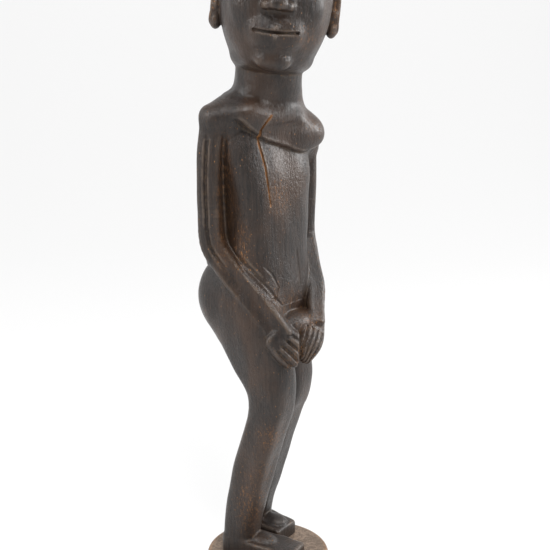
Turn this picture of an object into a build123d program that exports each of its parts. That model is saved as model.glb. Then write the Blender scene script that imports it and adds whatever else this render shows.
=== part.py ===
"""Carved ancestor figure: a standing figure cut with its round base from one block of hardwood.

Frame: millimetres, +Z up, origin at the centre of the base's underside. The hips face -Y, so the
figure's right side is at -X. The block is divided at its carved lines into named members that meet
face to face.
"""

from build123d import *
from math import cos, radians, sin
import os

os.makedirs("parts", exist_ok=True)

# Driving dimensions: the block and its base
HEIGHT = 500.0
BASE_RADIUS = 46.0
BASE_HEIGHT = 25.0
BASE_EDGE = 2.5

# Heights of the carved lines that divide the block
ANKLE = 38.5
KNEE = 147.0
HIP = 202.0
WAIST = 258.0
YOKE = 337.0
SHOULDER_TOP = 367.0
CHIN = 384.0

# How far each level is turned about the upright axis, in degrees
HEAD_TURN = -48.0
CHEST_TURN = -10.0
RIGHT_FOOT_TURN = 13.0
LEFT_FOOT_TURN = 5.0

# How far the head leans and the shoulders fall towards the left side, in degrees
HEAD_LEAN = 5.0
YOKE_FALL = 15.0

# Where the members stand
RIGHT_ANKLE = (-11.0, 16.0)
LEFT_ANKLE = (20.0, 30.5)
RIGHT_KNEE = (-13.2, -15.0)
LEFT_KNEE = (22.5, -1.0)
CHEST_CENTRE = (0.0, 5.0)
HEAD_CENTRE = (-2.0, -6.8)
RIGHT_SHOULDER = (-40.5, 14.5)
LEFT_SHOULDER = (41.5, 0.0)
RIGHT_ELBOW = (-38.5, 16.5, 263.0)
LEFT_ELBOW = (39.0, -2.0, 260.0)
RIGHT_WRIST = (-21.0, -27.0, 207.0)
LEFT_WRIST = (14.0, -31.0, 207.0)
PALM_LINE = (-8.0, -34.5)
HAND_BOTTOM = 178.0

# The shoulder yoke: height, fall towards the left side in degrees, half width and half depth
YOKE_LEVELS = (
    (YOKE, YOKE_FALL, 50.0, 24.0),
    (YOKE + 15, 10.0, 49.5, 25.0),
    (SHOULDER_TOP, 3.0, 30.0, 22.0),
)

# Thicknesses of the limbs
FOOT_WIDTH = 25.0
TOE_HEIGHT = 10.5
HEEL_ROUND = 11.0
TOE_ROUND = 3.0
ARM = 8.2
FOREARM = 8.0

# The head, measured over the chin along its own leaning axis
HEAD_PIVOT = 20.0
HEAD_HALF_WIDTH = 38.5
HEAD_HALF_DEPTH = 44.5
HEAD_HEIGHT = 115.6
NECK_RADIUS = 23.5
NECK_TOP_DEPTH = 22.5
NOSE_BOTTOM = 36.0
NOSE_TOP = 58.0
HAIRLINE = 70.0
HAIR_SLOPE = 27.5
EAR_MIDDLE = 41.0
EAR_HEIGHT = 37.0
EAR_SIZE = (8.5, 15.5)


def ovals(*sections):
    """Level ovals of one upright member: height, centre, half width, half depth and turn."""
    levels = []
    for height, centre, half_width, half_depth, turn in sections:
        with BuildSketch(Plane.XY.offset(height)) as level:
            with Locations(centre):
                Ellipse(half_width, half_depth, rotation=turn)
        levels.append(level.sketch)
    loft(levels)


def limb(start, end, start_radii, middle_radii, end_radii):
    """A limb between two points, its ovals square to the line between them."""
    along = Vector(*end) - Vector(*start)
    sideways = Vector(0, 0, 1).cross(along)
    levels = []
    for share, radii in ((0, start_radii), (0.5, middle_radii), (1, end_radii)):
        at = Vector(*start) + along * share
        with BuildSketch(Plane(origin=at, x_dir=sideways, z_dir=along)) as level:
            Ellipse(*radii)
        levels.append(level.sketch)
    loft(levels)


# The base
with BuildPart() as base:
    Cylinder(BASE_RADIUS, BASE_HEIGHT, align=(Align.CENTER, Align.CENTER, Align.MIN))
    fillet(base.edges().group_by(Axis.Z)[-1], BASE_EDGE)
base.part.label = "base"

# The feet: wedges with a level sole, cut to the ankle line
FEET = {
    "right_foot": (RIGHT_ANKLE, RIGHT_FOOT_TURN, 13.0, 47.0),
    "left_foot": (LEFT_ANKLE, LEFT_FOOT_TURN, 12.0, 31.0),
}
feet = []
for name, (ankle, turn, heel, toe) in FEET.items():
    side = Plane(
        origin=(*ankle, BASE_HEIGHT),
        x_dir=(sin(radians(turn)), -cos(radians(turn)), 0),
        z_dir=(-cos(radians(turn)), -sin(radians(turn)), 0),
    )
    rise = ANKLE - BASE_HEIGHT
    with BuildPart() as foot:
        with BuildSketch(side):
            with BuildLine():
                Polyline(
                    (-heel, 0),
                    (toe, 0),
                    (toe, TOE_HEIGHT),
                    (toe * 0.3, rise),
                    (-heel, rise),
                    close=True,
                )
            make_face()
        extrude(amount=FOOT_WIDTH / 2, both=True)
        fillet(foot.edges().filter_by(Axis.Z).sort_by(Axis.Y)[-2:], HEEL_ROUND)
        fillet(foot.edges().filter_by(Axis.Z).sort_by(Axis.Y)[:2], TOE_ROUND)
    foot.part.label = name
    feet.append(foot)

# The legs, knees forward of the ankles
LEGS = {
    "right": (RIGHT_ANKLE, RIGHT_KNEE, (-14.5, -8.0), (-18.0, 5.0)),
    "left": (LEFT_ANKLE, LEFT_KNEE, (20.5, 2.5), (18.5, 8.0)),
}
legs = []
for side_name, (ankle, knee, thigh, hip) in LEGS.items():
    calf = ((ankle[0] + knee[0]) / 2, (ankle[1] + knee[1]) / 2)
    with BuildPart() as lower_leg:
        ovals(
            (ANKLE, ankle, 12.0, 13.0, 0),
            ((ANKLE + KNEE) / 2, calf, 12.5, 14.5, 0),
            (KNEE, knee, 13.0, 15.5, 0),
        )
    lower_leg.part.label = side_name + "_lower_leg"
    with BuildPart() as thigh_part:
        ovals(
            (KNEE, knee, 13.0, 15.5, 0),
            ((KNEE + HIP) / 2, thigh, 16.0, 24.0, 0),
            (HIP, hip, 18.0, 32.0, 0),
        )
        for neighbour in legs[1:2]:
            add(neighbour.part, mode=Mode.SUBTRACT)
    thigh_part.part.label = side_name + "_thigh"
    legs += [lower_leg, thigh_part]

# The trunk, from the seat up to the shoulders
with BuildPart() as hips:
    ovals(
        (HIP, (0, 7.0), 37.5, 33.0, 0),
        (HIP + 28, (0, 12.0), 40.5, 37.0, -2),
        (HIP + 44, (0, 10.0), 36.0, 33.0, -4),
        (WAIST, (0, 3.0), 30.0, 23.0, -5),
    )
hips.part.label = "hips"

with BuildPart() as chest:
    levels = []
    for height, fall, half_width, half_depth in YOKE_LEVELS:
        place = Location((*CHEST_CENTRE, height), (0, fall, CHEST_TURN))
        with BuildSketch(Plane(place)) as level:
            Ellipse(half_width, half_depth)
        levels.append(level.sketch)
    loft(levels)
chest.part.label = "chest"

with BuildPart() as belly:
    ovals(
        (WAIST, (0, 3.0), 30.0, 23.0, -5),
        (WAIST + 34, (0, 1.0), 30.0, 22.0, -8),
        (SHOULDER_TOP - 8, (0, 5.0), 33.0, 21.0, CHEST_TURN),
    )
    add(chest.part, mode=Mode.SUBTRACT)
belly.part.label = "belly"

with BuildPart() as neck:
    ovals(
        (SHOULDER_TOP - 6, (0, 1.0), NECK_RADIUS + 3, NECK_RADIUS + 1, HEAD_TURN / 2),
        (CHIN, (-1, -2.0), NECK_RADIUS, NECK_TOP_DEPTH, HEAD_TURN),
    )
    add(chest.part, mode=Mode.SUBTRACT)
neck.part.label = "neck"

# The head leans on its own axis; the close cap of hair is cut off it along the hairline
turn, lean = radians(HEAD_TURN), radians(HEAD_LEAN)
head_axes = Plane(
    origin=(*HEAD_CENTRE, CHIN + HEAD_PIVOT),
    x_dir=(cos(turn) * cos(lean), sin(turn) * cos(lean), -sin(lean)),
    z_dir=(cos(turn) * sin(lean), sin(turn) * sin(lean), cos(lean)),
).offset(-HEAD_PIVOT)
hairline = head_axes.offset(HAIRLINE).rotated((-HAIR_SLOPE, 0, 0))


def jaw_half_width(height):
    """A plain curve that widens from the neck to the head's full width beside the ears."""
    return NECK_RADIUS + (HEAD_HALF_WIDTH - NECK_RADIUS) * sin(radians(90 * height / EAR_MIDDLE))


HEAD_LEVELS = (
    # height over the chin, shift backward, half width and half depth
    (-5, 4, jaw_half_width(-5), 24.0),
    (10, 1, jaw_half_width(10), 37.5),
    (35, 0, jaw_half_width(35), HEAD_HALF_DEPTH),
    (62, 0, HEAD_HALF_WIDTH, HEAD_HALF_DEPTH),
    (88, 2, 34.5, 40.0),
    (104, 3, 26.5, 31.0),
    (HEAD_HEIGHT, 3, 9.0, 11.0),
)
with BuildPart() as whole_head:
    levels = []
    for height, shift, half_width, half_depth in HEAD_LEVELS:
        with BuildSketch(head_axes.offset(height)) as level:
            with Locations((0, shift)):
                Ellipse(half_width, half_depth)
        levels.append(level.sketch)
    loft(levels)

with BuildPart() as head:
    add(whole_head.part)
    levels = []
    for height, depth, radii in ((NOSE_BOTTOM, 2, (9.0, 6.0)), (NOSE_TOP, 3, (4.0, 4.0))):
        with BuildSketch(head_axes.offset(height)) as level:
            with Locations((0, depth - HEAD_HALF_DEPTH)):
                Ellipse(*radii)
        levels.append(level.sketch)
    loft(levels)
    split(bisect_by=Plane.XY.offset(CHIN), keep=Keep.TOP)
    split(bisect_by=hairline, keep=Keep.BOTTOM)
head.part.label = "head"

with BuildPart() as hair_cap:
    add(whole_head.part)
    split(bisect_by=hairline, keep=Keep.TOP)
hair_cap.part.label = "hair_cap"

# The ears, flat upright strips against the sides of the head
ears = []
for name, hand in (("right_ear", -1), ("left_ear", 1)):
    middle = head_axes.from_local_coords((hand * (HEAD_HALF_WIDTH - 0.5), 4, EAR_MIDDLE))
    with BuildPart() as ear:
        with Locations(Plane(origin=middle, x_dir=head_axes.x_dir, z_dir=head_axes.z_dir)):
            Box(*EAR_SIZE, EAR_HEIGHT)
        fillet(ear.edges(), 2.5)
        add(whole_head.part, mode=Mode.SUBTRACT)
    ear.part.label = name
    ears.append(ear)

# The arms hang from under the yoke; the forearms cross the hips to the lower belly
ARMS = {
    "right": (-1, RIGHT_SHOULDER, RIGHT_ELBOW, RIGHT_WRIST),
    "left": (1, LEFT_SHOULDER, LEFT_ELBOW, LEFT_WRIST),
}
arms = []
for side_name, (hand, shoulder, elbow, wrist) in ARMS.items():
    with BuildPart() as upper_arm:
        middle = ((elbow[0] + shoulder[0]) / 2, (elbow[1] + shoulder[1]) / 2)
        ovals(
            (elbow[2], elbow[:2], ARM, ARM + 1.5, 0),
            ((elbow[2] + YOKE) / 2, middle, ARM, ARM + 2, 0),
            (YOKE + 4 - hand * 8, shoulder, ARM - 1, ARM + 1, 0),
        )
        for neighbour in (chest, belly):
            add(neighbour.part, mode=Mode.SUBTRACT)
    upper_arm.part.label = side_name + "_upper_arm"
    with BuildPart() as forearm:
        limb(elbow, wrist, (FOREARM, ARM + 1), (FOREARM, ARM + 1), (FOREARM - 1, ARM + 1))
        with Locations(elbow):
            Sphere(ARM + 0.5)
        for neighbour in (upper_arm, hips, belly, legs[1], legs[3]):
            add(neighbour.part, mode=Mode.SUBTRACT)
    forearm.part.label = side_name + "_forearm"
    with BuildPart() as hand_part:
        limb(
            wrist,
            (PALM_LINE[0] + hand * 5.5, PALM_LINE[1], HAND_BOTTOM),
            (8.5, 8.5),
            (9.0, 9.0),
            (5.0, 7.0),
        )
        for neighbour in (forearm, hips, legs[1], legs[3], *arms[2:3]):
            add(neighbour.part, mode=Mode.SUBTRACT)
    hand_part.part.label = side_name + "_hand"
    arms += [upper_arm, forearm, hand_part]

for member in [base, *feet, *legs, hips, belly, chest, neck, head, hair_cap, *ears, *arms]:
    export_step(member.part, "parts/" + member.part.label + ".step")
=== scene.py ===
"""The looks of a carved ancestor figure: one standing figure cut with its base from dark wood.

The carving is described as a field, which is negative inside the wood and positive outside, in
millimetres. Each named member is the skin of that field cut out along its own flat cuts, so that
neighbouring members meet edge to edge and the wood runs on across them.
"""

from math import cos, pi, radians, sin

import bmesh
import bpy
import numpy as np
import openvdb
from bpy.props import FloatProperty, FloatVectorProperty, PointerProperty
from mathutils import Matrix, Vector


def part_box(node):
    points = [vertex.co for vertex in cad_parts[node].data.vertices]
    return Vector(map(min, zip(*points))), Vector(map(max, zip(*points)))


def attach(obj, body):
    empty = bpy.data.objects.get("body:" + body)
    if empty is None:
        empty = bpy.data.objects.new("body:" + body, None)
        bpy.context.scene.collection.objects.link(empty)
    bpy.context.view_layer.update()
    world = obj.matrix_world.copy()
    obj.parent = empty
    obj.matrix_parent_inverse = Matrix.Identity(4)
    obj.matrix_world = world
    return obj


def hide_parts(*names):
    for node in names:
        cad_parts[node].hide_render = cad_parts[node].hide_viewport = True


bl_info = {
    "name": "Carved Ancestor Figure",
    "version": (1, 0, 0),
    "blender": (4, 5, 0),
    "location": "3D Viewport > Sidebar > Carving",
    "description": "Carves a standing wooden figure member by member around its design frame",
    "category": "Add Mesh",
}

MM = 0.001
BODY = "root"

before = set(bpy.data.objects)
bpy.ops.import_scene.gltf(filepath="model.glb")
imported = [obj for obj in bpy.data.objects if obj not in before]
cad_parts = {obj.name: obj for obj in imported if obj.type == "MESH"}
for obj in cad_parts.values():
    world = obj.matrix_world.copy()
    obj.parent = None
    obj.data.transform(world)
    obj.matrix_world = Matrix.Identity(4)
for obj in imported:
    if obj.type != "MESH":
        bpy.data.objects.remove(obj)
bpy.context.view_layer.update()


def node_box(name):
    """A design node's lowest and highest corner, in millimetres."""
    low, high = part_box(name)
    return np.array(low) / MM, np.array(high) / MM


# Heights of the flat cuts between members, as the design has them
BASE_TOP = node_box("base")[1][2]
BASE_RADIUS = node_box("base")[1][0]
ANKLE = node_box("right_lower_leg")[0][2]
KNEE = node_box("right_thigh")[0][2]
HIP = node_box("hips")[0][2]
WAIST = node_box("hips")[1][2]
CHIN = node_box("head")[0][2]
CROWN = node_box("hair_cap")[1][2]
YOKE = 337.0
NECK_BASE = 366.0

# How far each level is turned about the upright axis, in degrees
HEAD_TURN = -48.0
HEAD_ROLL = 5.0
CHEST_TURN = -10.0
YOKE_FALL = 15.0

CHEST_CENTRE = (0.0, 5.0)
HEAD_CENTRE = (-2.0, -6.8)
HEAD_PIVOT = 20.0
HAIRLINE = 70.0
CROWN_HEIGHT = 60.0
HAIR_SLOPE = 0.52
EAR_MIDDLE = 41.0
EAR_HALF_HEIGHT = 18.0


# ---------------------------------------------------------------- shapes as fields

# A distance past everything, a length too small to divide by, and how far shapes blend
NOWHERE = 1e3
TINY = 1e-6
NEAR_REACH = 14.0


def eased(rows, at):
    """Rows of values at the heights in their first column, read along a smooth curve through them."""
    rows = np.asarray(rows, float)
    knots, values = rows[:, 0], rows[:, 1:]
    slopes = np.gradient(values, knots, axis=0)
    at = np.clip(at, knots[0], knots[-1])
    i = np.clip(np.searchsorted(knots, at, side="right") - 1, 0, len(knots) - 2)
    span = (knots[i + 1] - knots[i])[:, None]
    t = (at - knots[i])[:, None] / span
    return (
        values[i] * (1 + 2 * t) * (1 - t) ** 2
        + slopes[i] * span * t * (1 - t) ** 2
        + values[i + 1] * t * t * (3 - 2 * t)
        + slopes[i + 1] * span * t * t * (t - 1)
    )


def join(a, b, fillet):
    """Two shapes as one, with a hollow fillet of about that size between them."""
    h = np.clip(0.5 + 0.5 * (b - a) / fillet, 0, 1)
    return b * (1 - h) + a * h - fillet * h * (1 - h)


def trim(a, b, fillet):
    """What two shapes share, with a rounded edge of about that size."""
    return -join(-a, -b, fillet)


def smooth_step(low, high, value):
    """0 below low, 1 above high and an S curve between."""
    t = np.clip((value - low) / (high - low), 0, 1)
    return t * t * (3 - 2 * t)


def turned(p, centre, turn):
    """Points as seen from a centre turned about the upright axis: across, backward and height."""
    c, s = cos(radians(turn)), sin(radians(turn))
    x, y = p[:, 0] - centre[0], p[:, 1] - centre[1]
    return np.stack([x * c + y * s, y * c - x * s, p[:, 2]], axis=1)


def oval(x, y, half_x, half_y, power):
    """The field of an oval with squared-off shoulders, from points beside its centre."""
    reach = (np.abs(x / half_x) ** power + np.abs(y / half_y) ** power) ** (1 / power)
    return np.hypot(x, y) * (1 - 1 / np.maximum(reach, TINY))


def column(p, rows):
    """An upright member from its levels: height, x, y, half width, half depth, turn and power."""
    rows = np.asarray(rows, float)
    x, y, half_x, half_y, turn, power = eased(rows, p[:, 2]).T
    c, s = np.cos(np.radians(turn)), np.sin(np.radians(turn))
    dx, dy = p[:, 0] - x, p[:, 1] - y
    side = oval(dx * c + dy * s, dy * c - dx * s, half_x, half_y, power)
    ends = np.abs(p[:, 2] - (rows[0, 0] + rows[-1, 0]) / 2) - (rows[-1, 0] - rows[0, 0]) / 2
    return trim(side, ends, 3.0)


def limb(p, rows, outward, power, steps=24):
    """A bent member along a smooth path: share, x, y, z, half thickness and half width.

    Gives its field, how far across it a point lies, from -1 to 1, and how far along, from 0 to 1.
    """
    path = eased(rows, np.linspace(0, 1, steps + 1))
    field = np.full(len(p), NOWHERE)
    beside = np.zeros(len(p))
    share = np.zeros(len(p))
    for i, (start, end) in enumerate(zip(path[:-1], path[1:])):
        along = end[:3] - start[:3]
        length = np.linalg.norm(along)
        along /= length
        across = np.cross(along, np.asarray(outward, float))
        across /= np.linalg.norm(across)
        out = np.cross(across, along)
        t = np.clip((p - start[:3]) @ along / length, 0, 1)
        away = p - start[:3] - np.outer(t * length, along)
        thick = start[3] + (end[3] - start[3]) * t
        wide = start[4] + (end[4] - start[4]) * t
        sideways = away @ across / wide
        facing = away @ out / thick
        reach = (
            np.abs(facing) ** power
            + np.abs(sideways) ** power
            + np.abs(away @ along / thick) ** power
        ) ** (1 / power)
        here = np.linalg.norm(away, axis=1) * (1 - 1 / np.maximum(reach, TINY))
        closer = here < field
        field = np.where(closer, here, field)
        beside = np.where(closer, sideways, beside)
        share = np.where(closer, (i + t) / steps, share)
    return field, beside, share


def ball(p, centre, radii, turn=0.0):
    """A rounded swelling."""
    q = turned(p, centre, turn)
    q[:, 2] -= centre[2]
    reach = np.linalg.norm(q / np.asarray(radii, float), axis=1)
    return np.linalg.norm(q, axis=1) * (1 - 1 / np.maximum(reach, TINY))


def plate(p, centre, halves, edge, turn=0.0):
    """A flat-sided block with rounded edges, turned about the upright axis."""
    q = turned(p, centre, turn)
    q[:, 2] -= centre[2]
    d = np.abs(q) - (np.asarray(halves, float) - edge)
    outside = np.linalg.norm(np.maximum(d, 0), axis=1)
    return outside + np.minimum(d.max(axis=1), 0) - edge


def near(p, low, high, shape, *details):
    """A shape's field worked out near its box; further off, the distance to the box stands for it."""
    gap = np.maximum(np.asarray(low) - p, p - np.asarray(high)).max(axis=1)
    field = gap.copy()
    close = gap < NEAR_REACH
    if close.any():
        field[close] = shape(p[close], *details)
    return field


def along_line(q, points):
    """Distance of flat points from a line of straight runs, and how far along it, from 0 to 1."""
    points = np.asarray(points, float)
    runs = np.linalg.norm(np.diff(points, axis=0), axis=1)
    best = np.full(len(q), NOWHERE)
    share = np.zeros(len(q))
    for i, (start, end) in enumerate(zip(points[:-1], points[1:])):
        t = np.clip((q - start) @ (end - start) / runs[i] ** 2, 0, 1)
        gap = np.linalg.norm(q - start - np.outer(t, end - start), axis=1)
        closer = gap < best
        best[closer] = gap[closer]
        share[closer] = ((runs[:i].sum() + t * runs[i]) / runs.sum())[closer]
    return best, share


# ---------------------------------------------------------------- the figure's members

# Upright members: height, x, y, half width, half depth, turn and power
LEGS = {
    "right": (
        (22, -11, 16, 12.6, 13.5, 10, 2.6),
        (40, -11, 16, 12, 13, 10, 2.6),
        (70, -11.4, 10, 12, 13.8, 8, 3.5),
        (100, -12, 1.5, 12.6, 14.2, 6, 3.5),
        (130, -12.8, -9.5, 13, 14, 6, 3.5),
        (150, -13.2, -15.6, 13, 14, 6, 3.5),
        (170, -14, -16, 13, 14, 6, 2.6),
    ),
    "left": (
        (22, 20, 31, 11, 12, 10, 2.6),
        (40, 20, 30.5, 11, 12.2, 10, 2.6),
        (70, 20.8, 24, 11.6, 13.2, 8, 3.5),
        (100, 21.6, 15.5, 12.6, 14, 6, 3.5),
        (130, 22.2, 5.5, 13, 14, 6, 3.5),
        (150, 22.6, -1.5, 13, 14, 6, 3.5),
        (170, 22, -2, 13, 14, 6, 2.6),
    ),
}
THIGHS = {
    "right": (
        (139, -13.0, -13.0, 12.0, 11.8, 6, 3.2),
        (160, -13.8, -14.6, 14.4, 16.2, 6, 3.2),
        (176, -14.6, -8.8, 15.6, 23.4, 4, 2.6),
        (202, -17, 1, 18, 29, 0, 2.5),
        (226, -17.5, 7.5, 18.5, 30, 0, 2.4),
        (240, -17, 8, 16, 26, 0, 2.2),
    ),
    "left": (
        (139, 22.4, 1.6, 12.0, 12.8, 6, 3.2),
        (160, 22.2, -0.5, 14.4, 17.5, 6, 3.2),
        (176, 19.8, 2.5, 15.0, 22, 4, 2.6),
        (202, 17.2, 6.5, 17.5, 29, 0, 2.5),
        (226, 18, 9, 18.5, 29, 0, 2.4),
        (240, 17, 9, 16, 26, 0, 2.2),
    ),
}
TRUNK = (
    (196, 0, 6, 30, 26, 0, 2.3),
    (212, 0, 5, 33.5, 28, 0, 2.4),
    (230, 0, 4, 35, 28, -2, 2.5),
    (246, 0, 3.5, 32, 26, -4, 2.7),
    (260, 0, 3, 30, 24.5, -6, 2.9),
    (276, 0, 2, 30.2, 23.5, -7, 3.0),
    (294, 0, 2, 31.5, 23, -8, 3.1),
    (316, 0, 3, 34.5, 23, -10, 3.2),
    (335, 0, 5, 36, 22.5, -10, 3.0),
    (350, 0, 5, 34, 21.5, -10, 2.6),
    (366, 0, 4, 27, 18, -12, 2.3),
)
NECK = (
    (350, 0, 2, 25, 23, -16, 2.2),
    (366, -0.5, 0, 23.6, 22.5, -25, 2.2),
    (378, -1, -2, 22.8, 22.4, -40, 2.2),
    (400, -1, -4, 24, 24, -46, 2.2),
)
HEAD_HALF_WIDTH = 37.0


def jaw(height):
    """Half the jaw's width: a plain curve from the neck's to the head's full width by the ears."""
    neck = NECK[-1][3]
    return neck + (HEAD_HALF_WIDTH - neck) * sin(radians(90 * min(height / EAR_MIDDLE, 1)))


# The head in its own frame, chin at 0: height, x, y, half width, half depth, turn and power
SKULL = (
    (-6, 0, 5, 14, 18, 0, 2.2),
    (0, 0, 3, jaw(0), 29, 0, 2.3),
    (10, 0, 1, jaw(10), 37, 0, 2.3),
    (25, 0, 0, jaw(25), 40.5, 0, 2.35),
    (45, 0, 0, jaw(45), 42, 0, 2.35),
    (62, 0, 1, 36.4, 41.4, 0, 2.3),
    (80, 0, 1, 32, 37, 0, 2.2),
)
# The face's round forms in the head's frame: centre and radii
FACE = {
    "socket": ((15, -44.5, 57), (11.5, 7.5, 6.5)),
    "eye": ((15, -35.6, 56.5), (8.6, 4.6, 4.4)),
    "cheek": ((17.5, -29.5, 40), (11, 8, 12.5)),
    "wing": ((6, -42.5, 39.5), (4.6, 4.8, 4.2)),
    "muzzle": ((0, -36, 23), (17, 9, 12)),
    "chin": ((0, -33, 6), (12, 7, 7)),
}
# Its lips: height, place forward, half width and thickness
LIPS = ((25.6, -42.4, 14.5, 2.6), (20.6, -42.2, 12.5, 3.0))
EYE_LINE = 56.0
MOUTH_LINE = 23.0
HAIR_PROUD = 1.2
COMB_LINES = 56
# An ear's round forms beside its middle: outward, backward, up and radii
EAR = {
    "outline": ((40, 4.5, 1.5), (40, 8.4, EAR_HALF_HEIGHT - 1)),
    "lobe": ((38.6, 2.0, -12.5), (4.2, 5.6, 6.6)),
    "hollow": ((43.0, 3.8, 2.5), (5.0, 5.0, 11.5)),
    "ridge": ((38.6, 5.6, 1.5), (2.6, 1.5, 8.5)),
    "flap": ((38.8, -2.2, -3), (2.8, 2.2, 3.6)),
}
# Bent members: share, x, y, z, half thickness and half width
BROW = ((0, -2, -39, 63, 3, 4), (0.5, 13, -38.5, 65.5, 3, 4), (1, 28, -28, 62, 2.2, 3))
NOSE = ((0, 0, -40, 64, 3, 3.4), (0.5, 0, -43.5, 51, 4.2, 4.4), (1, 0, -45.5, 41, 5.0, 6.2))
SHOULDERS = (
    (0.0, -37.2, 13.5, 351.0, 10.5, 10),
    (0.25, -22, 8, 353.5, 13.5, 18),
    (0.5, 0, 4, 350, 15.5, 21),
    (0.75, 22, 0, 342.5, 16.5, 21.5),
    (1.0, 36.0, -1, 328.5, 14.0, 12.3),
)
ARMS = {
    "right": (
        (0.0, -38.2, 14.5, 348, 7.2, 8.3),
        (0.2, -40.6, 15.8, 325, 7.2, 8.2),
        (0.4, -40.8, 16.2, 292, 7.2, 8.0),
        (0.56, -37, 16, 264, 7.4, 8.2),
        (0.66, -32.5, 7.5, 250, 7.6, 8.8),
        (0.83, -26.5, -12, 228, 7.4, 9.2),
        (1.0, -20, -28, 207, 6.6, 9.0),
    ),
    "left": (
        (0.0, 39.5, 0, 336, 7.2, 8.5),
        (0.2, 41.6, 0, 318, 7.6, 8.4),
        (0.4, 40.6, -1, 290, 7.2, 8.0),
        (0.56, 38.6, -2, 262, 7.4, 8.2),
        (0.66, 34.5, -9, 248, 7.6, 8.8),
        (0.83, 25.5, -22, 226, 7.4, 9.2),
        (1.0, 14, -32, 208, 6.6, 9.0),
    ),
}
ARM_OUTWARD = {"right": (-1, -0.5, 0.1), "left": (1, -0.7, 0.1)}
# The wood left standing between each arm and the trunk: centre, and half sizes
WEBS = {"right": (-33, 17, 298), "left": (33, 8, 298)}
WEB_HALVES = (8, 4.0, 48)
HANDS = {
    "right": (
        (0.0, -22, -27, 204, 6.4, 9.5),
        (0.5, -16.5, -33, 197, 6.6, 12.5),
        (1.0, -12.5, -36.5, 191, 5.6, 12.0),
    ),
    "left": (
        (0.0, 12.0, -31, 208, 6.6, 9.0),
        (0.5, 2.0, -36.5, 198, 6.4, 9.5),
        (1.0, -6.0, -38.5, 189, 4.4, 5.5),
    ),
}
# The upright line where the hands meet, and the way that a hand's back faces
PALM_LINE = (-8.5, -36)
HAND_OUTWARD = (-0.45, -1, 0.1)
# The places of the cuts that part the fingers, from -1 to 1 across a hand
FINGER_CUTS = (-0.55, -0.12, 0.3, 0.7)
# Feet: ankle x and y, turn, heel and toe reach, and the height of the top at the toe
FEET = {
    "right": (-11, 16, 13, 13.0, 46.5, 10.5),
    "left": (20, 30.5, 5, 10.8, 31, 10.5),
}
FOOT_HALF_WIDTH = 12.3

# The yoke's lower edge and the drying crack, as across and height on the chest's front
YOKE_EDGE = (
    (-48, 356),
    (-34, 352),
    (-26, 345.5),
    (-15, 338.5),
    (2, 332.5),
    (19, 327.5),
    (30, 328.5),
    (48, 338),
)
# Folds on the belly: their line as across and height, their width and depth
BELLY_FOLDS = (
    (((-20, 254), (-13, 246), (-9, 237), (-13, 229), (-22, 231)), 1.3, 0.7),
    (((-31, 262), (-27, 252), (-20, 241), (-12, 229), (-6, 222)), 1.8, 1.0),
    (((-5, 219), (1, 222.5), (8, 220), (12, 216)), 2.2, 1.8),
    (((10, 262), (12, 246), (13, 230)), 2.0, 0.5),
)
# The hollow at the foot of the neck: across, height, half width, half height, depth
NECK_PIT = (
    (-10, 362, 9, 5.5, 3.0),
    (4, 362.5, 12, 4, 1.3),
    (-23, 365.5, 9, 4, 1.2),
)
CRACK = (
    (-12, 353.5),
    (-15.5, 349.5),
    (-18.2, 344),
    (-18.4, 337),
    (-17.3, 330.5),
    (-15.3, 320.5),
    (-14.6, 312),
    (-13, 293),
)


def foot_field(p, side):
    """A wedge of a foot, its top falling to the toe, its heel rounded, with a lump at the instep."""
    x, y, turn, heel, toe, toe_height = FEET[side]
    q = turned(p, (x, y), turn)
    forward = -q[:, 1]
    height = q[:, 2] - BASE_TOP
    rise = ANKLE - BASE_TOP
    top = (height - rise + (rise - toe_height) * np.clip(forward / toe, 0, 1)) * 0.99
    sides = np.abs(q[:, 0]) - FOOT_HALF_WIDTH
    plan = trim(trim(sides, -heel - forward, 9.0), forward - toe, 2.0)
    wedge = trim(trim(plan, top, 2.5), -height - 3, 0.5)
    instep = ball(np.stack([q[:, 0], forward, height], 1), (0, 17, rise - 3), (8.5, 12, 6))
    return join(wedge, instep, 1.5)


def into_head(p):
    """Points in the head's own frame: across, backward and height over the chin."""
    q = turned(p, HEAD_CENTRE, HEAD_TURN)
    c, s = cos(radians(HEAD_ROLL)), sin(radians(HEAD_ROLL))
    height = q[:, 2] - CHIN - HEAD_PIVOT
    return np.stack(
        [q[:, 0] * c - height * s, q[:, 1], height * c + q[:, 0] * s + HEAD_PIVOT], axis=1
    )


def above_hairline(q):
    """How far a point in the head's frame is above the edge of the hair."""
    return (q[:, 2] - HAIRLINE + HAIR_SLOPE * q[:, 1]) / (1 + HAIR_SLOPE**2) ** 0.5


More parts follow.
